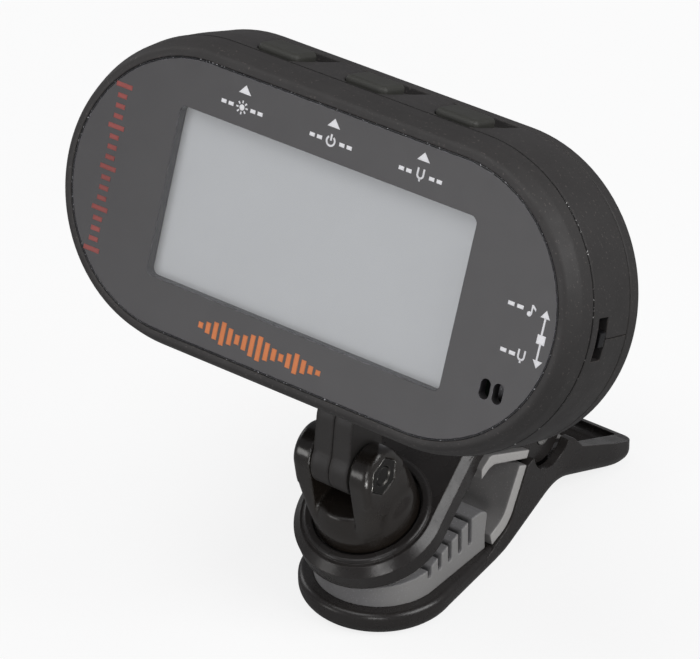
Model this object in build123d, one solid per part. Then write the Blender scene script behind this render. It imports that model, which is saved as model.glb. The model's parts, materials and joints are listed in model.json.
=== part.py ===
from build123d import *
import os
from math import atan2, degrees, hypot, radians, sin, tan

# Clip-on instrument tuner. Millimetres. X is across the clamp, Y runs back towards the
# handles, Z is up. The origin lies under the centre of the lower jaw's round end, on the
# plane that the jaw's flat underside rests on. The display faces -Y.

# ---- where the three tilted frames sit -------------------------------------------------
JAW_SLOPE = 24.0          # degrees the closed upper jaw rises towards the back
HEAD_TILT = 21.0          # degrees the display leans back
SWIVEL_CENTRE = (0, -2.8, 15.5)
HEAD_CENTRE = (0, -15.5, 63.5)

# ---- tuner head (head frame: y = 0 is the front of the face panel, z up the display) ----
STRAIGHT = 19.75          # half length of the straight sides of the pill outline
PANEL_R = 18.0
PANEL_T = 1.5
PANEL_GAP = 0.3
SHELL_R = 20.75
SHELL_WALL = 1.8
SHELL_IN = SHELL_R - SHELL_WALL
BEZEL_BACK = 4.3          # y of the seam behind the front bezel
SHELL_BACK = 12.95        # y of the seam in front of the back cover
HEAD_BACK = 15.7          # y of the back face
SEAM = 0.12
WINDOW = (46.7, 23.1)
WINDOW_X = 0.2
MIC_SLOT_X = (29.95, 31.9)
MIC_SLOT_Z = -8.8
MIC_SLOT = (2.7, 1.5)
BUTTON_X = (-14.0, 0.0, 14.0)
BUTTON_SIZE = (6.5, 5.3)  # along x, along y
BUTTON_Y = 7.85
BUTTON_TOP = 21.6
BUTTON_FOOT = 16.4
BUTTON_TRAVEL = 0.5
SCOOP_R = 13.0
SCOOP_FRONT = (5.0, 20.4) # y, z where the hollow round a button starts
SCOOP_REAR = (13.0, 19.65)
SWITCH_Z = 0.5
SWITCH_Y = 6.75
SWITCH_SLOT = (5.7, 2.1)  # along z, along y
SWITCH_TRAVEL = 1.3
BOARD_Y = 5.3
BOARD_T = 1.0
BOARD_R = 16.5
CASE_SCREW_AT = (28.35, 14.66)
BATTERY_X = -15.0
BATTERY_R = 10.0
BATTERY_T = 3.2
DOOR_R = 12.0
TONGUE_FRONT = HEAD_BACK + 0.05
PIN_IN_HEAD = (21.24, -32.43)   # y, z of the tilt screw in the head frame

# ---- swivel yoke (swivel frame: z along the swivel axis, z = 0 on the cup's crest) ------
YOKE_R = 7.35
EAR_IN = 3.25
EAR_OUT = 6.25
EAR_R = 3.9
EAR_FOOT = 6.4
TILT_H = 11.1             # tilt screw above the cup's crest
TILT_R = 1.25
NUT_FLATS = 4.8
NUT_T = 1.8
STEM_R = 3.6
RUNNING = 0.05            # radial clearance of everything that turns
CUP_FLOOR = -1.0

# ---- clamp (row frame) ------------------------------------------------------------------
PIVOT = (27.4, 13.8)      # y, z of the clamp's pivot pin
PIVOT_R = 1.5
UPPER_R = 10.55
UPPER_TAPER = (8.3, 14.5)  # half width, distance back along the jaw
UPPER_TOP = -0.4
UPPER_BOTTOM = -4.0
LOWER_R = 11.05
LOWER_RIM = 3.75          # top of the rim round the lower pad
LOWER_HALF_MID = 9.95
LOWER_HALF_WAIST = 9.75
LOWER_HALF_TAIL = 11.2
LOWER_TAIL = 46.6
WALL = 1.5
NOTCH_R = 4.6
UPPER_EAR = (6.7, 8.2)    # inner and outer x of the upper jaw's pivot ears
LOWER_LUG = (4.9, 6.4)
PAD_R = 8.95
RIB_START = -0.85
RIB_FOOT = 6.1
RIB_PITCH = 2.35
RIB_SLOT = 0.75
RIB_COUNT = 5
WIRE_R = 0.55
COIL_R = 3.1
COIL_TURNS = 5.5
COIL_PITCH = 1.25

SWIVEL = Pos(*SWIVEL_CENTRE) * Rot(JAW_SLOPE, 0, 0)
HEAD = Pos(*HEAD_CENTRE) * Rot(-HEAD_TILT, 0, 0)


# ---- drawing helpers --------------------------------------------------------------------
def outline(*corners):
    """A flat face from corners (u, v) or (u, v, radius): straight sides, rounded corners."""
    points = [(c[0], c[1], c[2] if len(c) > 2 else 0.0) for c in corners]
    bends = []
    for i, (u, v, r) in enumerate(points):
        here = Vector(u, v)
        back = (Vector(*points[i - 1][:2]) - here).normalized()
        ahead = (Vector(*points[(i + 1) % len(points)][:2]) - here).normalized()
        if r == 0:
            bends.append((here, None, here))
            continue
        half = radians(back.get_angle(ahead) / 2)
        middle = here + (back + ahead).normalized() * (r / sin(half) - r)
        bends.append((here + back * (r / tan(half)), middle, here + ahead * (r / tan(half))))
    edges = []
    for i, (start, middle, end) in enumerate(bends):
        if middle is not None:
            edges.append(ThreePointArc(start, middle, end))
        following = bends[(i + 1) % len(bends)][0]
        if (following - end).length > 1e-6:
            edges.append(Line(end, following))
    return make_face(edges)


def across(face, x0, x1):
    """A face drawn in (y, z), extruded along X from x0 to x1."""
    return extrude(Plane.YZ.offset(x0) * face, x1 - x0)


def both_sides(face, x0, x1):
    """The same extrusion on the +X and the -X side."""
    return across(face, x0, x1) + across(face, -x1, -x0)


def rod(y, z, radius, x0, x1):
    """A cylinder along X, centred on (y, z)."""
    return across(Pos(y, z) * Circle(radius), x0, x1)


def deep(face, y0, y1):
    """A face drawn in (x, z) of the head, extruded back from y0 to y1."""
    return extrude(Plane.XZ.offset(-y0) * face, -(y1 - y0))


def pill(radius):
    """The head's outline: a slot shape with the given end radius."""
    return SlotCenterToCenter(2 * STRAIGHT, 2 * radius)


def pill_ring(profile):
    """Sweeps a (y, radius) profile round the pill outline."""
    placed = Plane.YZ * profile
    end = revolve(Pos(STRAIGHT, 0, 0) * placed, Axis((STRAIGHT, 0, 0), (0, 1, 0)), 180)
    side = extrude(Plane.YZ.offset(-STRAIGHT) * profile, 2 * STRAIGHT)
    return end + mirror(end, Plane.YZ) + side + mirror(side, Plane.XY)


def screw(shank_r, length, head_r, head_t):
    """A cross-slotted screw along +Z: its head spans z = 0 to head_t, its shank runs below."""
    body = Pos(0, 0, head_t / 2) * Cylinder(head_r, head_t)
    body = fillet(body.edges().group_by(Axis.Z)[-1], head_t * 0.35)
    body += Pos(0, 0, -length / 2) * Cylinder(shank_r, length)
    for turn in (0, 90):
        cut = Box(head_r * 1.3, head_r * 0.28, head_t * 0.8)
        body -= Pos(0, 0, head_t) * Rot(0, 0, turn) * cut
    return body


# ---- tuner head -------------------------------------------------------------------------
def window_face(clearance=0.0):
    width, height = (side - 2 * clearance for side in WINDOW)
    return Pos(WINDOW_X, 0) * RectangleRounded(width, height, 1.0)


def face_panel():
    slots = [Pos(x, MIC_SLOT_Z) * Rot(0, 0, 90) * SlotOverall(*MIC_SLOT) for x in MIC_SLOT_X]
    return deep(pill(PANEL_R) - window_face() - slots, 0, PANEL_T)


def display_lens():
    return deep(window_face(0.03), 0.05, PANEL_T - 0.1)


def lcd_glass():
    return deep(Pos(WINDOW_X, 0) * Rectangle(50, 27), 1.6, 2.7)


def lcd_backlight():
    return deep(Pos(WINDOW_X, -1.4) * Rectangle(49, 24), 2.75, 5.2)


def contact_strip():
    return deep(Pos(WINDOW_X, 12.1) * Rectangle(46, 2.0), 2.75, 5.25)


def screw_places():
    sx, sz = CASE_SCREW_AT
    return [(x, z) for x in (-sx, sx) for z in (-sz, sz)]


def bosses(y0, y1, bore):
    posts = [deep(Pos(x, z) * (Circle(2.2) - Circle(bore)), y0, y1) for x, z in screw_places()]
    return Part() + posts


def front_bezel():
    profile = outline(
        (-0.1, PANEL_R + PANEL_GAP, 0.12), (-0.1, 19.35, 1.0), (2.1, 20.4, 1.4),
        (BEZEL_BACK, SHELL_R, 0.2), (BEZEL_BACK, SHELL_IN), (2.5, SHELL_IN),
        (2.5, 17.0), (PANEL_T + 0.05, 17.0), (PANEL_T + 0.05, PANEL_R + PANEL_GAP),
    )
    return pill_ring(profile) + bosses(2.4, BEZEL_BACK, 0.85)


def scoop(x):
    """The shallow hollow round one button: a tilted cylinder that deepens towards the back seam."""
    run = SCOOP_REAR[0] - SCOOP_FRONT[0]
    fall = SCOOP_REAR[1] - SCOOP_FRONT[1]
    middle = Pos(x, (SCOOP_REAR[0] + SCOOP_FRONT[0]) / 2, (SCOOP_REAR[1] + SCOOP_FRONT[1]) / 2)
    tilt = Rot(degrees(atan2(fall, run)), 0, 0)
    return middle * tilt * Pos(0, 0, SCOOP_R) * Rot(90, 0, 0) * Cylinder(SCOOP_R, hypot(run, fall) + 2.5)


def button_hole(x):
    size = (BUTTON_SIZE[0] + 0.24, BUTTON_SIZE[1] + 0.24)
    return Pos(x, BUTTON_Y, BUTTON_TOP - 2) * extrude(RectangleRounded(*size, 1.1), 6, both=True)


def main_shell():
    front = BEZEL_BACK + SEAM
    profile = outline(
        (front, SHELL_R, 0.2), (8.5, SHELL_R + 0.15, 20), (SHELL_BACK, SHELL_R + 0.1, 0.2),
        (SHELL_BACK, SHELL_IN), (front, SHELL_IN),
    )
    shell = pill_ring(profile)
    for x in BUTTON_X:
        shell -= scoop(x)
    ledge = pill_ring(outline((4.9, 18.2), (4.9, SHELL_IN + 0.2), (12.6, SHELL_IN + 0.2), (12.6, 18.2)))
    shell += ledge & (Pos(0, BUTTON_Y, 19) * Box(42, 8.4, 6))
    for x in BUTTON_X:
        shell -= button_hole(x)
    slot = extrude(Plane.YZ * Pos(SWITCH_Y, SWITCH_Z) * Rectangle(SWITCH_SLOT[1], SWITCH_SLOT[0]), 60)
    shell -= Pos(30, 0, 0) * slot
    line = Box(2, SHELL_BACK - SWITCH_Y, 0.16)
    shell -= Pos(STRAIGHT + SHELL_R + 0.8, (SHELL_BACK + SWITCH_Y) / 2, SWITCH_Z) * line
    return shell + bosses(front, SHELL_BACK, 0.95)


def tabs(radius, spread, y0, y1, turn):
    """The three bayonet tabs of the battery door, or with a wider spread the room for them."""
    reach = Rectangle(2 * radius, 2 * radius * sin(radians(spread)), align=(Align.MIN, Align.CENTER))
    wedge = Circle(radius) & reach
    faces = [Rot(0, 0, turn + k * 120) * wedge for k in range(3)]
    return deep(Pos(BATTERY_X, 0) * (Sketch() + faces), y0, y1)


def neck_cheeks():
    """Two cheeks on the back cover that hold the tilt tongue between them."""
    side = outline((13.6, -8.0), (17.5, -8.0, 2.5), (20.9, -12.0, 2.5), (20.9, -19.6, 1.5), (13.6, -19.6))
    cheek = across(side, 3.2, 6.2)
    outer = cheek.faces().sort_by(Axis.X)[-1].edges()
    cheek = fillet(outer.filter_by(lambda e: e.center().Y > HEAD_BACK + 0.1), 0.8)
    return cheek + mirror(cheek, Plane.YZ)


def back_cover():
    front = SHELL_BACK + SEAM
    rim = SHELL_R + 0.1
    edge = outline(
        (front, rim, 0.2), (HEAD_BACK, rim, 1.0), (HEAD_BACK, 16.0), (13.5, 16.0),
        (13.5, SHELL_IN), (front, SHELL_IN),
    )
    cover = pill_ring(edge) + deep(pill(16.2), 13.5, HEAD_BACK) + neck_cheeks()
    centre = Pos(BATTERY_X, 0)
    ring = deep(centre * Circle(DOOR_R + 2.6), 11.6, 13.6)
    cover += ring - deep(centre * Circle(DOOR_R + 1.35), 11.0, 13.4)
    cover -= deep(centre * Circle(DOOR_R + 0.12), 10, 16)
    cover -= tabs(DOOR_R + 1.2, 12, 12.9, 16, 30)
    for x, z in screw_places():
        cover += deep(Pos(x, z) * Circle(2.2), SHELL_BACK + SEAM, 13.6)
        cover -= deep(Pos(x, z) * Circle(0.95), 12, 16)
        cover -= deep(Pos(x, z) * Circle(1.9), HEAD_BACK - 1.2, 16)
    for x, z in tongue_screw_places():
        cover -= deep(Pos(x, z) * Circle(0.8), 13, 16)
    return cover


def battery_door():
    centre = Pos(BATTERY_X, 0)
    disc = deep(centre * Circle(DOOR_R), 13.5, HEAD_BACK - 0.1)
    disc = fillet(disc.edges().filter_by(GeomType.CIRCLE).sort_by(Axis.Y)[-1], 0.4)
    skirt = deep(centre * (Circle(DOOR_R) - Circle(DOOR_R - 1.6)), 12.3, 13.5)
    lugs = tabs(DOOR_R + 1.0, 8, 12.3, 13.3, 0) - deep(centre * Circle(DOOR_R - 1.6), 12, 14)
    return disc + skirt + lugs - deep(centre * SlotOverall(13, 1.8), HEAD_BACK - 1.0, 17)


def battery_cell():
    cell = deep(Pos(BATTERY_X, 0) * Circle(BATTERY_R), 8.6, 8.6 + BATTERY_T)
    return fillet(cell.edges().filter_by(GeomType.CIRCLE), 0.5)


def battery_holder():
    ring = deep(Pos(BATTERY_X, 0) * (Circle(BATTERY_R + 1.2) - Circle(BATTERY_R + 0.15)), 6.35, 11.3)
    floor = deep(Pos(BATTERY_X, 0) * (Circle(BATTERY_R + 1.2) - Circle(4.6)), 6.35, 7.2)
    return ring + floor - Pos(BATTERY_X, 9.6, 9) * Box(8, 3.2, 8)


def battery_contacts():
    dome = deep(Pos(BATTERY_X, 0) * Circle(4.2), 6.35, 6.65)
    finger = across(outline((6.6, -3), (8.5, 0.8), (8.5, 1.3), (6.4, -2.3)), BATTERY_X - 1.5, BATTERY_X + 1.5)
    clip = deep(Pos(BATTERY_X, -12.6) * Rectangle(5, 0.4), 6.35, 12.2)
    top = deep(Pos(BATTERY_X, -10.2) * Rectangle(5, 5.2), 11.9, 12.2)
    return [dome + finger, clip + top]


def circuit_board():
    face = pill(BOARD_R)
    for x, z in screw_places():
        face -= Pos(x, z) * Circle(2.6)
    return deep(face, BOARD_Y, BOARD_Y + BOARD_T)


def main_chip():
    body = deep(Pos(9, -4) * Rectangle(9, 9), 6.5, 7.9)
    legs = [deep(Pos(9 + dx * 5.0, -4 + dz * 5.0) * Rectangle(7 if dz else 1.2, 7 if dx else 1.2), 6.35, 6.6)
            for dx, dz in ((1, 0), (-1, 0), (0, 1), (0, -1))]
    return [Part() + body + legs]


def tact_switches():
    bodies = []
    plunger_top = BUTTON_FOOT - BUTTON_TRAVEL - 0.05
    case_y = BOARD_Y + BOARD_T + 2.1
    for x in BUTTON_X:
        case = Pos(x, case_y, 13.9) * Box(6, 3.9, 3.4)
        bodies.append(case + Pos(x, BUTTON_Y, plunger_top - 0.4) * Box(2.6, 1.6, 0.8))
    return bodies


def button(x):
    cap = Pos(x, BUTTON_Y, 18.0) * extrude(RectangleRounded(*BUTTON_SIZE, 1.0), BUTTON_TOP - 18.0)
    cap = fillet(cap.edges().group_by(Axis.Z)[-1], 0.7)
    flange = Pos(x, BUTTON_Y, 17.4) * extrude(RectangleRounded(9.2, 6.4, 1.2), 0.6)
    stem = Pos(x, BUTTON_Y, BUTTON_FOOT) * Box(2.6, 2.2, 1.2, align=(Align.CENTER, Align.CENTER, Align.MIN))
    return cap + flange + stem


def slide_switch_body():
    case = Pos(35.4, 8.05, SWITCH_Z) * Box(3.6, 3.4, 8.6)
    return case - Pos(36.75, 7.5, SWITCH_Z) * Box(2.2, 1.5, 2 * SWITCH_TRAVEL + 2.4)


def slide_switch_knob():
    lever = Pos(38.0, 7.3, SWITCH_Z) * Box(4.2, 0.8, 1.7)
    carrier = Pos(36.5, 7.5, SWITCH_Z) * Box(1.4, 1.3, 2.1)
    tip = Pos(39.75, SWITCH_Y + 0.15, SWITCH_Z) * Box(1.8, 1.3, 1.9)
    return carrier + lever + tip


def microphone():
    x = sum(MIC_SLOT_X) / 2
    return deep(Pos(x, MIC_SLOT_Z) * Circle(2.0), 2.7, 5.25)


def piezo_plate():
    return deep(Pos(14, 2) * Circle(7.5), 13.2, 13.4)


def piezo_ceramic():
    return deep(Pos(14, 2) * Circle(5.2), 12.95, 13.18)


def case_screws():
    length = HEAD_BACK - 1.15 - 2.9
    one = screw(0.8, length, 1.75, 1.0)
    return [Pos(x, HEAD_BACK - 1.15, z) * Rot(-90, 0, 0) * one for x, z in screw_places()]


def tongue_screw_places():
    return [(1.6, -17.0), (-1.6, -11.5)]


def tongue_screws():
    one = screw(0.75, 4.4, 1.4, 0.8)
    return [Pos(x, 13.45, z) * Rot(90, 0, 0) * one for x, z in tongue_screw_places()]


def tongue(side):
    """One half of the tilt tongue; side is +1 or -1 along X."""
    py, pz = PIN_IN_HEAD
    arm = outline(
        (TONGUE_FRONT, -8.6), (20.4, -8.6, 1.5), (20.4, -18.5, 6), (25.0, -31.4), (py, pz),
        (17.45, -31.6), (16.1, -26.0, 3), (16.1, -20.2), (TONGUE_FRONT, -20.2),
    )
    face = arm + Pos(py, pz) * Circle(3.95) - Pos(py, pz) * Circle(TILT_R + RUNNING)
    half = across(face, 0.06, 2.95)
    for x, z in tongue_screw_places():
        if x * side > 0:
            half -= deep(Pos(abs(x), z) * Circle(0.78), 15, 18.2)
    return half if side > 0 else mirror(half, Plane.YZ)


# ---- swivel yoke ------------------------------------------------------------------------
def yoke():
    base = Plane.XZ * outline(
        (0, CUP_FLOOR + 0.1), (YOKE_R, CUP_FLOOR + 0.1, 0.3), (YOKE_R, 2.6, 3.5), (5.7, 5.4, 0.5), (0, 5.2)
    )
    top = Pos(0, TILT_H) * Circle(EAR_R)
    side = make_hull(top.edges() + Line((-EAR_FOOT, 1.6), (EAR_FOOT, 1.6)).edges())
    ear = across(side, EAR_IN, EAR_OUT)
    ear = fillet(ear.faces().sort_by(Axis.X)[-1].edges().filter_by(GeomType.CIRCLE), 0.9)
    ear &= extrude(Circle(YOKE_R - 0.05), 30)
    body = revolve(base, Axis.Z) + ear + mirror(ear, Plane.YZ)
    body += Pos(0, 0, -1.95) * Cylinder(STEM_R, 2.3)
    body -= rod(0, TILT_H, TILT_R + 0.01, -20, 20)
    flats = RegularPolygon(NUT_FLATS / 2 + 0.05, 6, major_radius=False)
    body -= across(Pos(0, TILT_H) * flats, EAR_OUT - 1.95, 10)
    body -= rod(0, TILT_H, 2.5, -10, -EAR_OUT + 1.5)
    return body - Pos(0, 0, -3) * Cylinder(0.85, 6)


def friction_washers():
    ring = Pos(0, TILT_H) * (Circle(3.3) - Circle(TILT_R + 0.02))
    return [across(ring, 2.98, 3.22), across(ring, -3.22, -2.98)]


def tilt_screw():
    one = screw(TILT_R, EAR_OUT * 2 - 1.7, 2.3, 1.3)
    return Pos(-EAR_OUT + 1.45, 0, TILT_H) * Rot(0, -90, 0) * one


def tilt_nut():
    flats = RegularPolygon(NUT_FLATS / 2, 6, major_radius=False)
    ring = Pos(0, TILT_H) * (flats - Circle(TILT_R + 0.01))
    nut = across(ring, EAR_OUT - 1.9, EAR_OUT - 1.9 + NUT_T)
    return chamfer(nut.faces().sort_by(Axis.X)[-1].inner_wires()[0].edges(), 0.25)


def swivel_washer():
    return Pos(0, 0, -3.45) * (Cylinder(5.4, 0.6) - Cylinder(0.95, 2))


def swivel_screw():
    return Pos(0, 0, -3.78) * Rot(180, 0, 0) * screw(0.84, 3.4, 2.2, 0.9)


# ---- clamp ------------------------------------------------------------------------------
def upper_plan(inset=0.0):
    half, back = UPPER_TAPER
    r = UPPER_R - inset
    half -= inset
    plan = outline((-r * 0.99, 1.2), (r * 0.99, 1.2), (half, back), (half, 20), (-half, 20), (-half, back))
    return plan + Circle(r)


def upper_pad_profile():
    """Side view of the upper rubber: under the jaw, then down the throat to the pivot."""
    def on_jaw(back, height):
        place = SWIVEL * Pos(0, back, height)
        return place.position.Y, place.position.Z
    return outline(
        on_jaw(-12, -5.2), (13.4, 17.0, 2.5), (21.9, 13.3), (22.5, 14.45), (13.15, 18.75, 1.0),
        on_jaw(11.5, UPPER_BOTTOM), on_jaw(-12, UPPER_BOTTOM),
    )


def upper_pad():
    wide = SWIVEL * extrude(upper_plan(0.7) + Pos(0, 20) * Rectangle(2 * 7.6, 40), 12, both=True)
    under = across(upper_pad_profile(), -12, 12) & wide
    strip = across(upper_pad_profile(), -9.3, 9.3) - Pos(0, -9.0, 0) * Box(60, 40, 80)
    pad = under + strip
    return pad - SWIVEL * (Pos(0, 0, -4.5) * Cylinder(2.6, 1.1))


def upper_jaw():
    flat = Pos(0, 0, UPPER_BOTTOM) * extrude(upper_plan(), UPPER_TOP - UPPER_BOTTOM)
    rim = flat.edges().group_by(Axis.Z)[-1].filter_by(lambda e: e.center().Y < 19.5)
    plate = SWIVEL * chamfer(rim, 1.1)
    plate -= across(outline((14.0, 10), (40, 10), (40, 30), (14.0, 30)), -12, 12)
    ring = Plane.XZ * outline(
        (YOKE_R + 0.25, CUP_FLOOR), (YOKE_R + 0.25, 0.05, 0.3), (8.85, 0.05, 0.5), (9.1, -1.2)
    )
    plate += SWIVEL * revolve(ring, Axis.Z)
    plate -= SWIVEL * (Pos(0, 0, CUP_FLOOR / 2 + 0.5) * Cylinder(YOKE_R + 0.25, 1 - CUP_FLOOR))
    plate -= SWIVEL * Cylinder(STEM_R + RUNNING, 30)
    plate -= SWIVEL * (Pos(0, 0, -4.1) * Cylinder(5.7, 2.04))
    half = UPPER_TAPER[0]
    back = outline(
        (8.5, 20.1), (22.0, 26.1, 25), (33.0, 29.6, 12), (46.0, 33.0, 1.0), (46.3, 30.6, 1.0),
        (32.0, 24.6, 8), (24.0, 21.8, 4), (13.2, 17.3), (8.5, 16.5),
    )
    hollow = outline(
        (15.5, 10), (15.5, 21.0, 1), (22.4, 24.2, 25), (33.0, 27.7, 12), (44.2, 30.6, 0.5), (45.5, 10)
    )
    handle = across(back, -half, half)
    sides = handle.edges().filter_by(lambda e: abs(e.center().X) > 1)
    upper = sides.filter_by(lambda e: e.center().Z > 16.2 + 0.35 * e.center().Y)
    handle = chamfer(upper, 0.8) - across(hollow, -UPPER_EAR[0], UPPER_EAR[0])
    py, pz = PIVOT
    ear = outline((14.0, 19.0), (py - 4.2, pz), (py + 4.2, pz), (31.6, 25.5), (14.0, 21.5))
    ear += Pos(py, pz) * Circle(4.2)
    handle += both_sides(ear, *UPPER_EAR)
    handle += across(outline((13.2, 18.7), (22.6, 13.95), (23.0, 15.1), (15.8, 21.5), (13.2, 20.5)), -7, 7)
    handle -= rod(*PIVOT, PIVOT_R + RUNNING, -12, 12)
    return plate + handle - upper_pad()


def lower_plan():
    r, mid, waist, tail, end = LOWER_R, LOWER_HALF_MID, LOWER_HALF_WAIST, LOWER_HALF_TAIL, LOWER_TAIL
    right = [(r, 0), (mid, 15), (waist, 30, 30), (tail, end - 5, 20), (tail, end, 2.2)]
    return outline(*right, *[(-c[0], *c[1:]) for c in reversed(right)]) + Circle(r)


def pad_plan(clearance=0.0):
    """The lower pad seen from above; with a clearance, the seat it sits in."""
    r = PAD_R + clearance
    return Circle(r) + Pos(0, 10) * Rectangle(2 * r, 20)


def liner_front():
    """Corners of the throat liner's front face, bottom to top."""
    return [(12.75, 5.7), (15.9, 6.8, 3.5), (19.7, 13.5)]


def liner_back():
    return [(21.5, 12.6), (17.3, 5.0, 5.0), (13.3, 3.7)]


def throat_liner():
    return across(outline(*liner_front(), *liner_back()), -9.6, 9.6)


def lower_side():
    """Side view of the lower jaw and handle."""
    return outline(
        (-12, 0), (-12, LOWER_RIM), (13.3, 3.6), *liner_back()[::-1][1:], (22.5, 12.95, 0.4),
        (32.4, 11.2, 0.8), (34.4, 8.7, 2.0), (45.0, 4.0, 2.0), (47.2, 3.2, 1.2), (47.2, 0.5, 1.6),
        (43.2, 0.5, 8), (29.4, 5.2, 9), (16.0, 0, 12),
    )


def lower_hollow():
    """Side view of the space behind the throat, open at the top."""
    return outline(
        (16.4, 3.2, 0.2), (20.4, 3.9, 3), (29.4, 7.0, 8), (43.2, 2.4, 4), (45.6, 2.4, 1), (45.6, 20),
        (22.3, 20), (21.9, 11.2), (18.6, 5.3, 2),
    )


def lower_pad_profile():
    top = [
        (13.1, 9.3, 1.0), (11.4, 10.1, 1.0), (9.0, 10.2, 0.5), (4.0, 9.0, 8), (-1.0, 7.5, 4), (-PAD_R, 6.7)
    ]
    return outline((-PAD_R, 1.85), (12.3, 1.85), (12.6, 3.4), (12.5, 5.7, 0.8), *top)


def lower_pad():
    pad = across(lower_pad_profile(), -12, 12) & extrude(pad_plan(), 20)
    for k in range(RIB_COUNT):
        near = RIB_START + k * RIB_PITCH
        far = near + RIB_SLOT
        pad -= across(outline((near, RIB_FOOT, 0.3), (far, RIB_FOOT, 0.3), (far, 20), (near, 20)), -12, 12)
    return pad


def lower_jaw():
    body = across(lower_side(), -12, 12) & extrude(lower_plan(), 20)
    body = fillet(body.edges().filter_by(lambda e: e.center().Z < 0.05 and e.center().Y < 15.9), 2.0)
    body = fillet(body.edges().filter_by(lambda e: 3.5 < e.center().Z < 3.8 and e.center().Y < 12), 0.9)
    seat = extrude(pad_plan(0.06), 40)
    seat &= across(outline((-12, 1.8), (12.7, 1.8), (12.7, 3.2), (13.3, 3.6), (13.3, 30), (-12, 30)), -12, 12)
    body -= seat
    inside = LOWER_HALF_MID - WALL
    body -= across(lower_hollow(), -inside, inside)
    body -= rod(*PIVOT, NOTCH_R, -12, 12)
    body -= across(outline((20.4, 11.9), (26, 11.9), (26, 20), (20.4, 20)), -inside, inside)
    lug = outline((24.0, 5.0), (31.4, 5.6), (PIVOT[0] + 3.7, PIVOT[1]), (PIVOT[0] - 3.7, PIVOT[1]))
    lug += Pos(*PIVOT) * Circle(3.7)
    body += both_sides(lug, *LOWER_LUG)
    return body - rod(*PIVOT, PIVOT_R, -12, 12)


def pivot_pin():
    return rod(*PIVOT, PIVOT_R, -8.35, 8.35)


def spring_leg(start, end):
    path = Line(start, end)
    return sweep(Plane(path @ 0, z_dir=path % 0) * Circle(WIRE_R), path=path)


def torsion_spring():
    """A torsion coil round the pivot pin, with one leg under each handle."""
    half = COIL_TURNS * COIL_PITCH / 2
    turns = Helix(COIL_PITCH, 2 * half, COIL_R)
    coil = sweep(Plane(turns @ 0, z_dir=turns % 0) * Circle(WIRE_R), path=turns)
    py, pz = PIVOT
    spring = Pos(-half, py, pz) * Rot(0, 90, 0) * coil
    spring += spring_leg((-half, py, pz + COIL_R), (-half, 37.5, 28.4))
    return spring + spring_leg((half, py, pz - COIL_R), (half, 38.5, 5.0))


NODES = {
    "face_panel": (HEAD, face_panel()),
    "display_lens": (HEAD, display_lens()),
    "lcd_glass": (HEAD, lcd_glass()),
    "lcd_backlight": (HEAD, lcd_backlight()),
    "lcd_contact_strip": (HEAD, contact_strip()),
    "front_bezel": (HEAD, front_bezel()),
    "main_shell": (HEAD, main_shell()),
    "back_cover": (HEAD, back_cover()),
    "battery_door": (HEAD, battery_door()),
    "battery_cell": (HEAD, battery_cell()),
    "battery_holder": (HEAD, battery_holder()),
    "battery_contacts": (HEAD, battery_contacts()),
    "circuit_board": (HEAD, circuit_board()),
    "main_chip": (HEAD, main_chip()),
    "tact_switches": (HEAD, tact_switches()),
    "button_left": (HEAD, button(BUTTON_X[0])),
    "button_middle": (HEAD, button(BUTTON_X[1])),
    "button_right": (HEAD, button(BUTTON_X[2])),
    "slide_switch_body": (HEAD, slide_switch_body()),
    "slide_switch_knob": (HEAD, slide_switch_knob()),
    "microphone": (HEAD, microphone()),
    "piezo_plate": (HEAD, piezo_plate()),
    "piezo_ceramic": (HEAD, piezo_ceramic()),
    "case_screws": (HEAD, case_screws()),
    "tongue_screws": (HEAD, tongue_screws()),
    "tongue_left": (HEAD, tongue(-1)),
    "tongue_right": (HEAD, tongue(1)),
    "yoke": (SWIVEL, yoke()),
    "friction_washers": (SWIVEL, friction_washers()),
    "tilt_screw": (SWIVEL, tilt_screw()),
    "tilt_nut": (SWIVEL, tilt_nut()),
    "swivel_washer": (SWIVEL, swivel_washer()),
    "swivel_screw": (SWIVEL, swivel_screw()),
    "upper_jaw": (Pos(0, 0, 0), upper_jaw()),
    "upper_pad": (Pos(0, 0, 0), upper_pad()),
    "lower_jaw": (Pos(0, 0, 0), lower_jaw()),
    "lower_pad": (Pos(0, 0, 0), lower_pad()),
    "throat_liner": (Pos(0, 0, 0), throat_liner()),
    "pivot_pin": (Pos(0, 0, 0), pivot_pin()),
    "torsion_spring": (Pos(0, 0, 0), torsion_spring()),
}

os.makedirs("parts", exist_ok=True)
for name, (frame, shape) in NODES.items():
    solids = [frame * s for s in shape] if isinstance(shape, list) else [frame * shape]
    node = solids[0] if len(solids) == 1 else Compound(children=solids)
    node.label = name
    export_step(node, f"parts/{name}.step")
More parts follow.
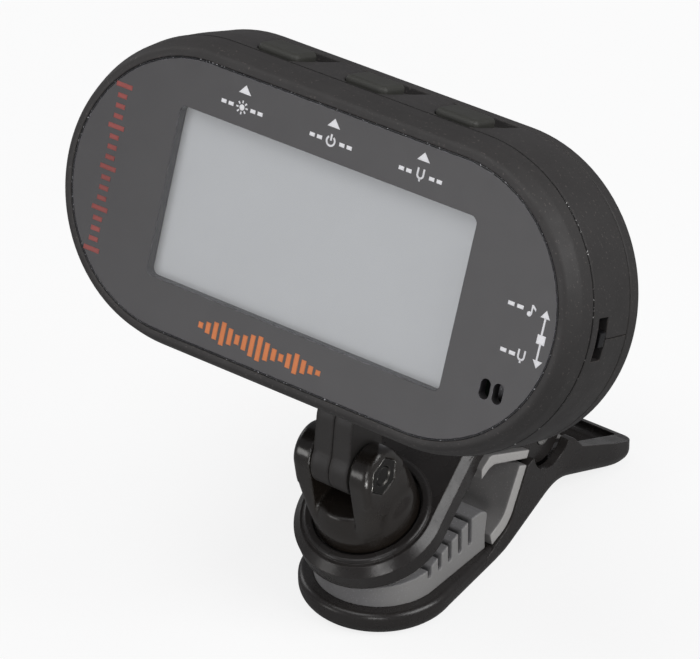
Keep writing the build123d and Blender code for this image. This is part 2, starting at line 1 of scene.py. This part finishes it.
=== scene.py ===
import bmesh
import bpy
import json
import math
from mathutils import Matrix, Vector
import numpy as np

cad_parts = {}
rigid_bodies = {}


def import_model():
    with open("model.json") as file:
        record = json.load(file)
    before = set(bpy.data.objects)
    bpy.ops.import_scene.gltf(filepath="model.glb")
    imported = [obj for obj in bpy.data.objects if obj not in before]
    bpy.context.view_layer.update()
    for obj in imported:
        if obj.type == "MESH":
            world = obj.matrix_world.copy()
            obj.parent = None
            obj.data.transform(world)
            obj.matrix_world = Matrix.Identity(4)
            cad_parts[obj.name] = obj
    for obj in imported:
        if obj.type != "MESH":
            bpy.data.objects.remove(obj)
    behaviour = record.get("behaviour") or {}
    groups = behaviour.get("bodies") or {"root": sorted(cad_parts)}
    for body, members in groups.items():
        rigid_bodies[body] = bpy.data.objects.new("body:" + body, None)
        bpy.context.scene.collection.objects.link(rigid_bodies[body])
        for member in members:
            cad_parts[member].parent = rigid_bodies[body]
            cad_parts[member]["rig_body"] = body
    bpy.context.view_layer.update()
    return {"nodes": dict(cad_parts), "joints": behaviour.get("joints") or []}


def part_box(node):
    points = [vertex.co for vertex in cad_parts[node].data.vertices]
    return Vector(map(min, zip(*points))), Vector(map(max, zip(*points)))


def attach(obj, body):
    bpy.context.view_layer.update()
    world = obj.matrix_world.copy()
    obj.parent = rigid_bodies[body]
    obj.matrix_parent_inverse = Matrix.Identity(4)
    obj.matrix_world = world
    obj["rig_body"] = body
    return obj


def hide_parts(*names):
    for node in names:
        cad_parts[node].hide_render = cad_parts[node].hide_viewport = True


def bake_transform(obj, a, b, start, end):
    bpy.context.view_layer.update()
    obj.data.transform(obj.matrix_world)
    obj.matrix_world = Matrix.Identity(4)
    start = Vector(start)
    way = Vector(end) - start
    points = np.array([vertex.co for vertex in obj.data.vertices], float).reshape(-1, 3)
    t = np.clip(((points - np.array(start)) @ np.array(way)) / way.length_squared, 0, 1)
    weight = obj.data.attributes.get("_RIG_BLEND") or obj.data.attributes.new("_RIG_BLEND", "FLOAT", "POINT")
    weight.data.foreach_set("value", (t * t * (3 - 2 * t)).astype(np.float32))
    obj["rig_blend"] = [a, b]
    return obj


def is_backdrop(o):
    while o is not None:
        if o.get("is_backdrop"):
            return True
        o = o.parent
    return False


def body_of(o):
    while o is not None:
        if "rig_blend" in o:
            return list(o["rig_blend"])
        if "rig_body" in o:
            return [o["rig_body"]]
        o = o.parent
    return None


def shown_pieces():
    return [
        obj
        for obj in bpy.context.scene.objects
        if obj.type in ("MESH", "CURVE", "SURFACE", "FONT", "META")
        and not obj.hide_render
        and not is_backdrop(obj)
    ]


# Looks for the clip-on tuner: materials, rounded rubber, printed marks, floor, lights and camera.
# Metres, in the CAD frame. MM turns millimetres into metres.
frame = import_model()
nodes = frame["nodes"]
MM = 0.001

# ---- the head's own frame: x right, y back, z up the display --------------------------------
press = next(joint for joint in frame["joints"] if joint["name"] == "button_middle_press")
RIGHT = Vector((1, 0, 0))
UP = -Vector(press["axis"]).normalized()
BACK = UP.cross(RIGHT)
panel_low, panel_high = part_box("face_panel")
HEAD = (panel_low + panel_high) / 2 - BACK * 0.75 * MM


def on_head(x, y, z):
    """A point of the head frame, given in millimetres."""
    return HEAD + (RIGHT * x + BACK * y + UP * z) * MM


# ---- shader helpers --------------------------------------------------------------------------
def add(tree, kind, inputs=None, **settings):
    """A shader node. Each input is a value, or another node's output to link."""
    node = tree.nodes.new("ShaderNode" + kind)
    for key, value in settings.items():
        setattr(node, key, value)
    for key, value in (inputs or {}).items():
        if isinstance(value, bpy.types.NodeSocket):
            tree.links.new(value, node.inputs[key])
        else:
            node.inputs[key].default_value = value
    return node


def empty_material(name):
    made = bpy.data.materials.new(name)
    made.use_nodes = True
    made.node_tree.nodes.clear()
    return made, made.node_tree


def rgb(colour, gain=1.0):
    return tuple(channel * gain for channel in colour) + (1.0,)


def remap(tree, value, low, high, to_low=0.0, to_high=1.0):
    settings = {"Value": value, "From Min": low, "From Max": high, "To Min": to_low, "To Max": to_high}
    return add(tree, "MapRange", settings).outputs[0]


def blend_colour(tree, factor, first, second):
    mixed = add(tree, "Mix", data_type="RGBA")
    for socket, value in ((mixed.inputs[0], factor), (mixed.inputs[6], first), (mixed.inputs[7], second)):
        if isinstance(value, bpy.types.NodeSocket):
            tree.links.new(value, socket)
        else:
            socket.default_value = value
    return mixed.outputs[2]


def noise(tree, size, detail=2.0, stretch=(1, 1, 1)):
    """Noise whose features are about size millimetres across."""
    where = add(tree, "TexCoord").outputs["Object"]
    placed = add(tree, "Mapping", {"Vector": where, "Scale": stretch}).outputs[0]
    settings = {"Vector": placed, "Scale": 1 / (size * MM), "Detail": detail, "Roughness": 0.55}
    return add(tree, "TexNoise", settings).outputs["Fac"]


def finish(name, colour, rough, grain=0.3, bump=0.02, tone=0.12, streak=(1, 1, 1), metal=0.0, shine=0.5,
           edge_wear_and_highlight=None, edge_width=0.25, edge_amount=0.5, coat=0.0, speckle=None, painted_glow=0.0, dusty_lit_sides=None,
           uneven=0.07):
    """A surface with wear: grain, uneven tone and roughness, softened and rubbed edges. Sizes in millimetres.
    The pale colour on the edges is partly rubbed wear and partly a painted highlight along rounded edges.
    speckle is a colour, a size and, if it starts only there, an x. uneven is how far the roughness strays.
    Faces that look out across the clamp can take a paler colour: partly dust, partly a painted highlight
    standing in for the light on them.
    The emission strength makes the surface shine by itself, which is painted light."""
    made, tree = empty_material(name)
    fine = noise(tree, grain, 2.0, streak)
    broad = noise(tree, 9.0, 4.0)
    shade = blend_colour(tree, remap(tree, broad, 0.3, 0.7), rgb(colour, 1 - tone), rgb(colour, 1 + tone))
    patches = noise(tree, 3.0, 3.0)
    gloss = remap(tree, patches, 0.25, 0.75, max(0.04, rough - uneven), min(1.0, rough + uneven))
    rounded = add(tree, "Bevel", {"Radius": edge_width * MM}, samples=4).outputs[0]
    flat = add(tree, "NewGeometry").outputs["Normal"]
    # Painted highlight, with some dust: faces that look out along x, across the clamp, are made paler as if
    # lit.
    if dusty_lit_sides:
        across = add(tree, "SeparateXYZ", {0: flat}).outputs[0]
        across = add(tree, "Math", {0: across}, operation="ABSOLUTE").outputs[0]
        shade = blend_colour(tree, remap(tree, across, 0.35, 0.9), shade, rgb(dusty_lit_sides))
    # Pale colour on the edges: partly rubbed wear, partly a painted highlight where rounded edges would catch
    # the light.
    if edge_wear_and_highlight:
        turn = add(tree, "VectorMath", operation="DOT_PRODUCT")
        tree.links.new(rounded, turn.inputs[0])
        tree.links.new(flat, turn.inputs[1])
        corner = remap(tree, turn.outputs["Value"], 0.985, 0.86)
        patchy = remap(tree, noise(tree, 0.8, 4.0), 0.38, 0.66)
        rubbed_and_lit = add(tree, "Math", {0: corner, 1: patchy}, operation="MULTIPLY").outputs[0]
        rubbed_and_lit = add(tree, "Math", {0: rubbed_and_lit, 1: edge_amount}, operation="MULTIPLY").outputs[0]
        shade = blend_colour(tree, rubbed_and_lit, shade, rgb(edge_wear_and_highlight))
    if speckle:
        dots = remap(tree, noise(tree, speckle[1], 1.0), 0.66, 0.74)
        if len(speckle) > 2:
            place = add(tree, "SeparateXYZ", {0: add(tree, "TexCoord").outputs["Object"]}).outputs[0]
            near = remap(tree, place, speckle[2] * MM, (speckle[2] + 8) * MM)
            dots = add(tree, "Math", {0: dots, 1: near}, operation="MULTIPLY").outputs[0]
        shade = blend_colour(tree, dots, shade, rgb(speckle[0]))
    normal = add(tree, "Bump", {"Strength": 1.0, "Distance": bump * MM, "Height": fine, "Normal": rounded})
    surface = add(tree, "BsdfPrincipled", {
        "Base Color": shade, "Roughness": gloss, "Metallic": metal, "Specular IOR Level": shine,
        "Coat Weight": coat, "Coat Roughness": 0.12, "Normal": normal.outputs[0],
        # The emission is painted light: the surface shines by itself.
        "Emission Color": shade, "Emission Strength": painted_glow,
    })
    out = add(tree, "OutputMaterial")
    tree.links.new(surface.outputs[0], out.inputs[0])
    return made


def clear_finish(name):
    """A thin clear window: see-through, with a Fresnel reflection and faint dust."""
    made, tree = empty_material(name)
    through = add(tree, "BsdfTransparent", {"Color": (0.93, 0.94, 0.95, 1)})
    mirror = add(tree, "BsdfGlossy", {"Roughness": 0.06})
    edge_on = add(tree, "Fresnel", {"IOR": 1.4}).outputs[0]
    dust = remap(tree, noise(tree, 1.6, 5.0), 0.5, 0.8, 0.0, 0.012)
    amount = add(tree, "Math", {0: edge_on, 1: dust}, operation="ADD").outputs[0]
    inside = add(tree, "NewGeometry").outputs["Backfacing"]
    front = add(tree, "Math", {0: 1.0, 1: inside}, operation="SUBTRACT").outputs[0]
    amount = add(tree, "Math", {0: amount, 1: front}, operation="MULTIPLY").outputs[0]
    both = add(tree, "MixShader", {0: amount, 1: through.outputs[0], 2: mirror.outputs[0]})
    out = add(tree, "OutputMaterial")
    tree.links.new(both.outputs[0], out.inputs[0])
    return made


def paint(obj, made):
    obj.data.materials.clear()
    obj.data.materials.append(made)
    for face in obj.data.polygons:
        face.material_index = 0


# ---- materials ---------------------------------------------------------------------------------
# The pale colours on the edges below are partly rubbed wear and partly painted highlights along the edges.
SHELL = finish("shell_soft_touch", (0.038, 0.0355, 0.0345), 0.60, grain=0.22, bump=0.018, tone=0.13,
               edge_wear_and_highlight=(0.17, 0.145, 0.125), edge_width=0.30, edge_amount=0.5,
               speckle=((0.09, 0.08, 0.075), 0.35))
TONGUE = finish("tongue_plastic", (0.036, 0.033, 0.031), 0.48, grain=0.25, bump=0.014, tone=0.13,
                edge_wear_and_highlight=(0.15, 0.13, 0.115), edge_width=0.8, edge_amount=0.25)
PANEL = finish("face_print", (0.057, 0.055, 0.057), 0.32, grain=0.35, bump=0.010, tone=0.03, uneven=0.02,
               edge_wear_and_highlight=(0.42, 0.41, 0.46), edge_width=0.14, edge_amount=0.8)
BUTTON = finish("button_rubber", (0.043, 0.043, 0.037), 0.55, grain=0.25, bump=0.020, tone=0.12)
SEAL = finish("seal_gloss", (0.008, 0.008, 0.010), 0.20, grain=0.5, bump=0.06,
              speckle=((0.5, 0.5, 0.52), 0.26))
GLUE = finish("seam_glue", (0.020, 0.0185, 0.018), 0.45, grain=0.3, bump=0.03,
              speckle=((0.9, 0.89, 0.87), 0.32, 26.0))
CLAMP = finish("clamp_plastic", (0.023, 0.0205, 0.0195), 0.27, grain=0.5, bump=0.012, tone=0.15,
               edge_wear_and_highlight=(0.14, 0.12, 0.11), edge_width=0.22, edge_amount=0.35)
# The pad's and liner's paler faces across the clamp are partly dust and partly a painted highlight.
PAD = finish("pad_rubber", (0.215, 0.212, 0.216), 0.60, grain=0.28, bump=0.035, tone=0.10,
             speckle=((0.42, 0.42, 0.44), 0.16), dusty_lit_sides=(0.30, 0.295, 0.29))
LINER = finish("liner_rubber", (0.185, 0.180, 0.178), 0.58, grain=0.35, bump=0.03, tone=0.12,
               speckle=((0.30, 0.29, 0.28), 0.2), dusty_lit_sides=(0.50, 0.49, 0.475))
YOKE = finish("yoke_plastic", (0.0115, 0.0090, 0.0072), 0.24, grain=0.9, bump=0.03, tone=0.2, shine=0.6,
              edge_wear_and_highlight=(0.5, 0.47, 0.43), edge_width=0.45, edge_amount=0.18, coat=0.2)
SWITCH = finish("switch_black", (0.008, 0.008, 0.009), 0.35, grain=0.3, bump=0.012, shine=0.3)
# The LCD's emission is painted light: it brightens the display's grey face as if more light fell on it.
LCD = finish("lcd", (0.62, 0.615, 0.605), 0.34, grain=0.2, bump=0.0002, tone=0.01, painted_glow=0.12, uneven=0.0)
LCD_BODY = finish("lcd_body", (0.62, 0.62, 0.60), 0.45, grain=0.4, bump=0.01, tone=0.05)
BOARD = finish("board", (0.015, 0.090, 0.045), 0.38, grain=0.5, bump=0.012, tone=0.25)
CHIP = finish("chip_black", (0.020, 0.020, 0.022), 0.5, grain=0.15, bump=0.01)
MICROPHONE = finish("microphone_can", (0.10, 0.10, 0.105), 0.4, grain=0.12, bump=0.01, metal=1.0, tone=0.2,
                    speckle=((0.6, 0.6, 0.6), 0.5))
STRIP = finish("strip_rubber", (0.30, 0.24, 0.26), 0.7, grain=0.2, bump=0.02, streak=(6, 1, 1))
HOLDER = finish("holder_plastic", (0.028, 0.026, 0.026), 0.45, grain=0.4, bump=0.015)
NYLON = finish("washer_nylon", (0.66, 0.63, 0.55), 0.45, grain=0.3, bump=0.01)
STEEL = finish("steel", (0.60, 0.59, 0.57), 0.26, grain=0.12, bump=0.004, metal=1.0, tone=0.1,
               streak=(1, 8, 8), edge_wear_and_highlight=(0.85, 0.85, 0.84))
BLACKED = finish("black_steel", (0.06, 0.058, 0.055), 0.30, grain=0.12, bump=0.004, metal=1.0, tone=0.15,
                 edge_wear_and_highlight=(0.75, 0.73, 0.70), edge_width=0.15, edge_amount=0.8)
SPRING = finish("spring_steel", (0.50, 0.49, 0.47), 0.3, grain=0.10, bump=0.004, metal=1.0, tone=0.15,
                streak=(1, 1, 6))
CELL = finish("cell_steel", (0.72, 0.72, 0.70), 0.28, grain=0.15, bump=0.003, metal=1.0, streak=(12, 1, 1))
BRASS = finish("contact_brass", (0.72, 0.52, 0.24), 0.3, grain=0.2, bump=0.004, metal=1.0)
CERAMIC = finish("ceramic", (0.80, 0.78, 0.72), 0.5, grain=0.2, bump=0.004)
LENS = clear_finish("clear_lens")
# The white print's emission is painted light: the print shines by itself.
INK_WHITE = finish("ink_white", (0.88, 0.88, 0.90), 0.55, grain=0.15, bump=0.004, tone=0.05, painted_glow=0.12)
INK_ORANGE = finish("ink_orange", (0.85, 0.26, 0.085), 0.55, grain=0.15, bump=0.004, tone=0.10)
INK_RED = finish("ink_red", (0.36, 0.085, 0.075), 0.55, grain=0.15, bump=0.004, tone=0.25)

FINISHES = {
    "front_bezel": SHELL, "main_shell": SHELL, "back_cover": SHELL, "battery_door": SHELL,
    "tongue_left": TONGUE, "tongue_right": TONGUE, "face_panel": PANEL, "display_lens": LENS,
    "lcd_glass": LCD, "lcd_backlight": LCD_BODY, "lcd_contact_strip": STRIP, "circuit_board": BOARD,
    "main_chip": CHIP, "tact_switches": CHIP, "slide_switch_body": STEEL, "slide_switch_knob": SWITCH,
    "microphone": MICROPHONE, "piezo_plate": BRASS, "piezo_ceramic": CERAMIC, "battery_cell": CELL,
    "battery_holder": HOLDER, "battery_contacts": BRASS, "case_screws": STEEL, "tongue_screws": STEEL,
    "button_left": BUTTON, "button_middle": BUTTON, "button_right": BUTTON,
    "yoke": YOKE, "friction_washers": NYLON, "tilt_screw": BLACKED, "tilt_nut": BLACKED,
    "swivel_washer": NYLON, "swivel_screw": STEEL, "upper_jaw": CLAMP, "lower_jaw": CLAMP,
    "upper_pad": LINER, "lower_pad": PAD, "throat_liner": LINER, "pivot_pin": STEEL, "torsion_spring": SPRING,
}
for name, obj in nodes.items():
    paint(obj, FINISHES[name])


# ---- moulded shapes -------------------------------------------------------------------------------
def new_object(name, mesh):
    obj = bpy.data.objects.new(name, mesh)
    bpy.context.scene.collection.objects.link(obj)
    return obj


def rounded_copy(node, voxel, rounds, body):
    """A moulded shape with soft edges that stands in for one CAD node."""
    mesh = nodes[node].data.copy()
    work = bmesh.new()
    work.from_mesh(mesh)
    bmesh.ops.remove_doubles(work, verts=work.verts, dist=0.002 * MM)
    work.to_mesh(mesh)
    work.free()
    rough = new_object(node + "_work", mesh)
    shape = rough.modifiers.new("shape", "REMESH")
    shape.mode = "VOXEL"
    shape.voxel_size = voxel * MM
    soften = rough.modifiers.new("soften", "SMOOTH")
    soften.iterations = rounds
    bpy.context.view_layer.update()
    made = bpy.data.meshes.new_from_object(rough.evaluated_get(bpy.context.evaluated_depsgraph_get()))
    bpy.data.objects.remove(rough)
    piece = new_object(node + "_rubber", made)
    paint(piece, FINISHES[node])
    for face in made.polygons:
        face.use_smooth = True
    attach(piece, body)
    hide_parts(node)
    return piece


coarse = 1.0
rounded_copy("lower_pad", 0.13 * coarse, 4, "lower_jaw")
rounded_copy("throat_liner", 0.16 * coarse, 4, "lower_jaw")
rounded_copy("upper_pad", 0.16 * coarse, 4, "upper_jaw")
for side in ("left", "middle", "right"):
    rounded_copy("button_" + side, 0.09 * coarse, 4, "button_" + side)


SWIVEL_CENTRE = Vector((0, -2.8, 15.5)) * MM    # the cup's crest
SWIVEL_TILT = math.radians(24)
TILT_SCREW_HEIGHT = 11.1                        # millimetres above the cup's crest
NUT_POCKET_R = 3.3
MELT_ROUNDS = 60


def melt_yoke(piece):
    """Runs the yoke's ears smoothly into its dome. Works in the swivel's frame, in millimetres."""
    swivel = Matrix.Translation(SWIVEL_CENTRE) @ Matrix.Rotation(SWIVEL_TILT, 4, "X")
    inverse = swivel.inverted()
    work = bmesh.new()
    work.from_mesh(piece.data)
    soft = []
    for vert in work.verts:
        x, y, z = inverse @ vert.co / MM
        outside = math.hypot(x, y) > 5.6 and 0.2 < z < 8.8
        off_the_nut = math.hypot(y, z - TILT_SCREW_HEIGHT) > NUT_POCKET_R
        off_the_slot = abs(x) > 3.8 or z < 4.0
        if outside and off_the_nut and off_the_slot:
            soft.append(vert)
    for _ in range(MELT_ROUNDS):
        bmesh.ops.smooth_vert(work, verts=soft, factor=0.5, use_axis_x=True, use_axis_y=True, use_axis_z=True)
    work.to_mesh(piece.data)
    work.free()


melt_yoke(rounded_copy("yoke", 0.14 * coarse, 3, "swivel"))

# The spring winds as the clamp opens: each of its legs stays with its own jaw.
LOWER_LEG = Vector((0, 27.4, 10.9)) * MM
UPPER_LEG = Vector((0, 27.4, 16.7)) * MM
spring = new_object("torsion_spring_wound", nodes["torsion_spring"].data.copy())
paint(spring, SPRING)
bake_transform(spring, "lower_jaw", "upper_jaw", start=LOWER_LEG, end=UPPER_LEG)
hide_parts("torsion_spring")


# ---- printed marks and the seal round the face panel ----------------------------------------------
def head_mesh(name, outlines, front, back):
    """Flat shapes on the head's face: each outline is a list of (x, z), raised from back to front."""
    work = bmesh.new()
    for shape in outlines:
        face = work.faces.new([work.verts.new(on_head(x, back, z)) for x, z in shape])
        grown = bmesh.ops.extrude_face_region(work, geom=[face])
        for item in grown["geom"]:
            if isinstance(item, bmesh.types.BMVert):
                item.co += BACK * (front - back) * MM
    bmesh.ops.recalc_face_normals(work, faces=work.faces)
    mesh = bpy.data.meshes.new(name)
    work.to_mesh(mesh)
    work.free()
    return new_object(name, mesh)


def bar(x0, z0, x1, z1):
    return [(x0, z0), (x1, z0), (x1, z1), (x0, z1)]


def arc(x, z, radius, width, start, sweep, steps=18):
    """A curved stroke, from start degrees round by sweep degrees."""
    turns = [math.radians(start + sweep * k / steps) for k in range(steps + 1)]
    strips = []
    for a, b in zip(turns, turns[1:]):
        inner, outer = radius - width / 2, radius + width / 2
        corners = ((inner, a), (outer, a), (outer, b), (inner, b))
        strips.append([(x + reach * math.cos(turn), z + reach * math.sin(turn)) for reach, turn in corners])
    return strips


def disc(x, z, radius, steps=20):
    return [(x + radius * math.cos(2 * math.pi * k / steps), z + radius * math.sin(2 * math.pi * k / steps))
            for k in range(steps)]


def power_icon(x, z):
    return arc(x, z, 0.62, 0.27, 125, 290) + [bar(x - 0.14, z + 0.05, x + 0.14, z + 0.9)]


def fork_icon(x, z):
    prongs = [bar(x - 0.57, z, x - 0.31, z + 0.85), bar(x + 0.31, z, x + 0.57, z + 0.85)]
    return prongs + arc(x, z, 0.44, 0.26, 180, 180) + [bar(x - 0.13, z - 0.85, x + 0.13, z - 0.40)]


def sun_icon(x, z):
    rays = []
    for k in range(8):
        a = math.pi * k / 4
        c, s = math.cos(a), math.sin(a)
        rays.append([(x + u * c - v * s, z + u * s + v * c)
                     for u, v in ((0.56, -0.11), (0.92, -0.11), (0.92, 0.11), (0.56, 0.11))])
    return rays + [disc(x, z, 0.40)]


def note_icon(x, z):
    return [disc(x - 0.25, z - 0.45, 0.33), bar(x - 0.08, z - 0.45, x + 0.14, z + 0.8),
            [(x + 0.14, z + 0.8), (x + 0.14, z + 0.45), (x + 0.6, z + 0.1), (x + 0.6, z + 0.42)]]


def dashes(x0, x1, z, tall, long, gap):
    marks = []
    while x0 + long <= x1 + 1e-6:
        marks.append(bar(x0, z - tall / 2, x0 + long, z + tall / 2))
        x0 += long + gap
    return marks


white = []
for x, icon in ((-13.9, sun_icon), (0.2, power_icon), (14.1, fork_icon)):
    white.append([(x - 0.95, 15.85), (x + 1.0, 15.85), (x, 17.0)])
    white += icon(x, 14.05)
    white += dashes(x - 3.3, x - 1.3, 14.05, 0.5, 0.8, 0.35)
    white += dashes(x + 1.35, x + 3.4, 14.05, 0.5, 0.8, 0.35)
white += [[(35.3, 2.55), (36.7, 2.55), (36.0, 3.6)], bar(35.5, -0.8, 36.7, 0.4)]
white += [[(35.6, -2.85), (36.3, -3.85), (37.0, -2.85)]]
white += [bar(36.0, -2.9, 36.28, -0.8), bar(35.9, 0.4, 36.18, 2.6)]
white += note_icon(33.9, 2.85) + dashes(30.4, 33.0, 2.85, 0.5, 0.95, 0.4)
white += fork_icon(33.9, -3.1) + dashes(30.8, 33.3, -3.1, 0.5, 0.9, 0.4)
SOUND_WAVE = (0.8, 1.5, 2.3, 3.1, 2.2, 1.3, 2.0, 2.9, 3.3, 2.4, 1.6, 1.0, 1.9, 2.7, 1.8, 1.1, 0.7)
orange = []
for k, tall in enumerate(SOUND_WAVE):
    orange.append(bar(-13.5 + 1.18 * k, -15.2 - tall / 2, -12.75 + 1.18 * k, -15.2 + tall / 2))
red = []
for k in range(17):
    z = -11.2 + 1.4 * k
    reach = 2.6 if k % 4 == 0 else 1.5
    red.append(bar(-32.4 - reach / 2, z - 0.32, -32.4 + reach / 2, z + 0.32))
for name, shapes, ink in (("print_white", white, INK_WHITE), ("print_orange", orange, INK_ORANGE),
                          ("print_red", red, INK_RED)):
    marks = head_mesh(name, shapes, -0.018, 0.01)
    paint(marks, ink)
    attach(marks, "head")


def pill_tube(name, radius, depth, thick, around=10):
    """A closed tube that follows the head's pill outline."""
    straight = 19.75
    path = []
    for k in range(65):
        a = -math.pi / 2 + math.pi * k / 64
        path.append((straight + radius * math.cos(a), radius * math.sin(a), math.cos(a), math.sin(a)))
    path += [(-x, -z, -c, -s) for x, z, c, s in path]
    work = bmesh.new()
    rings = []
    for x, z, c, s in path:
        ring = []
        for k in range(around):
            a = 2 * math.pi * k / around
            out, deep = thick * math.cos(a), depth + thick * math.sin(a)
            ring.append(work.verts.new(on_head(x + out * c, deep, z + out * s)))
        rings.append(ring)
    for ring, following in zip(rings, rings[1:] + rings[:1]):
        for k in range(around):
            near = (k + 1) % around
            work.faces.new((ring[k], ring[near], following[near], following[k]))
    bmesh.ops.recalc_face_normals(work, faces=work.faces)
    for face in work.faces:
        face.smooth = True
    mesh = bpy.data.meshes.new(name)
    work.to_mesh(mesh)
    work.free()
    return new_object(name, mesh)


for name, radius, depth, thick, look in (("panel_seal", 18.15, 0.12, 0.16, SEAL),
                                         ("front_seam_glue", 20.70, 4.36, 0.085, GLUE)):
    seal = pill_tube(name, radius, depth, thick)
    paint(seal, look)
    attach(seal, "head")

# ---- floor, world, lights and camera ----------------------------------------------------------------
floor_mesh = bpy.data.meshes.new("floor")
floor_mesh.from_pydata([(-0.9, -0.9, 0), (0.9, -0.9, 0), (0.9, 0.9, 0), (-0.9, 0.9, 0)], [], [(0, 1, 2, 3)])
floor = new_object("floor", floor_mesh)
floor_look, tree = empty_material("floor")
is_camera = add(tree, "LightPath").outputs["Is Camera Ray"]
grain = blend_colour(tree, noise(tree, 14.0, 3.0), (0.88, 0.88, 0.88, 1), (0.92, 0.92, 0.92, 1))
seen = add(tree, "BsdfDiffuse", {"Color": blend_colour(tree, is_camera, (0.42, 0.42, 0.42, 1), grain)})
lift = add(tree, "Emission", {"Color": (1, 1, 1, 1), "Strength": 1.06})
lit = add(tree, "MixShader", {0: add(tree, "Math", {0: is_camera, 1: 0.78}, operation="MULTIPLY").outputs[0],
                              1: seen.outputs[0], 2: lift.outputs[0]})
place = add(tree, "TexCoord").outputs["Object"]
spot = add(tree, "VectorMath", {0: place}, operation="LENGTH").outputs["Value"]
below = add(tree, "NewGeometry").outputs["Backfacing"]
fade = add(tree, "Math", {0: remap(tree, spot, 0.10, 0.55), 1: below}, operation="MAXIMUM").outputs[0]
clear = add(tree, "BsdfTransparent")
edge_mix = add(tree, "MixShader", {0: fade, 1: lit.outputs[0], 2: clear.outputs[0]})
tree.links.new(edge_mix.outputs[0], add(tree, "OutputMaterial").inputs[0])
paint(floor, floor_look)
floor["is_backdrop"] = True

world = bpy.data.worlds.new("studio")
bpy.context.scene.world = world
world.use_nodes = True
tree = world.node_tree
tree.nodes.clear()
seen_by_camera = add(tree, "LightPath").outputs["Is Camera Ray"]
backdrop = blend_colour(tree, seen_by_camera, (0.20, 0.20, 0.21, 1), (1.0, 1.0, 1.0, 1))
sky = add(tree, "Background", {"Color": backdrop, "Strength": 1.0})
tree.links.new(sky.outputs[0], add(tree, "OutputWorld").inputs[0])

CENTRE = Vector((0, -8, 40)) * MM
DOME_CENTRE = Vector((1, -6, 19)) * MM

# Some lights fall on one group of pieces only, to match the tones of this view.
on_clamp = bpy.data.collections.new("on_clamp")
on_swivel = bpy.data.collections.new("on_swivel")
on_head_only = bpy.data.collections.new("on_head_only")
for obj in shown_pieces():
    carried = body_of(obj)[0] in ("lower_jaw", "upper_jaw", "swivel")
    (on_clamp if carried else on_head_only).objects.link(obj)
    if body_of(obj)[0] == "swivel":
        on_swivel.objects.link(obj)


def softbox(name, towards, distance, width, height, radiance, tint=(1, 1, 1), only=None, centre=CENTRE):
    """An area light in the given direction from the object, facing it. Sizes in metres.
    only is a collection: the light then falls on nothing else."""
    light = bpy.data.lights.new(name, "AREA")
    light.shape = "RECTANGLE"
    light.size = width
    light.size_y = height
    light.energy = radiance * math.pi * width * height
    light.color = tint
    lamp = bpy.data.objects.new(name, light)
    bpy.context.scene.collection.objects.link(lamp)
    away = Vector(towards).normalized()
    lamp.location = centre + away * distance
    lamp.visible_camera = False
    lamp.rotation_euler = away.to_track_quat("Z", "Y").to_euler()
    if only:
        lamp.light_linking.receiver_collection = only


softbox("key", (0.775, 0.151, 0.614), 0.7, 0.50, 0.36, 4.2)
softbox("veil", (-0.29, -0.95, 0.10), 0.8, 0.60, 0.50, 1.85, (1.0, 0.99, 1.0), on_head_only)
softbox("low_front", (0.52, -0.83, 0.20), 0.8, 0.20, 0.30, 5.5, (1.0, 0.99, 0.98), on_clamp)
softbox("low_left", (-0.50, -0.85, 0.05), 0.8, 0.24, 0.22, 3.6, (1.0, 0.99, 0.97), on_clamp)
softbox("dome", (0.75, -0.60, -0.20), 0.06, 0.020, 0.012, 16.0, (1.0, 0.99, 0.97), on_swivel, DOME_CENTRE)
softbox("top", (-0.10, -0.35, 0.93), 0.8, 0.6, 0.5, 2.2)
softbox("left", (-0.93, 0.10, 0.35), 0.8, 0.35, 0.35, 1.5)

camera_data = bpy.data.cameras.new("camera")
camera = bpy.data.objects.new("camera", camera_data)
bpy.context.scene.collection.objects.link(camera)
right = Vector((0.803, 0.595, -0.004)).normalized()
backward = Vector((0.499, -0.670, 0.550)).normalized()
up = backward.cross(right).normalized()
right = up.cross(backward).normalized()
turned = Matrix((right, up, backward)).transposed().to_4x4()
camera.matrix_world = Matrix.Translation(Vector((287.4, -392.2, 362.7)) * MM) @ turned
camera_data.sensor_width = 36
camera_data.lens = 227.3
camera_data.clip_start = 0.01
camera_data.clip_end = 10
bpy.context.scene.camera = camera
bpy.context.scene.view_settings.view_transform = "Standard"
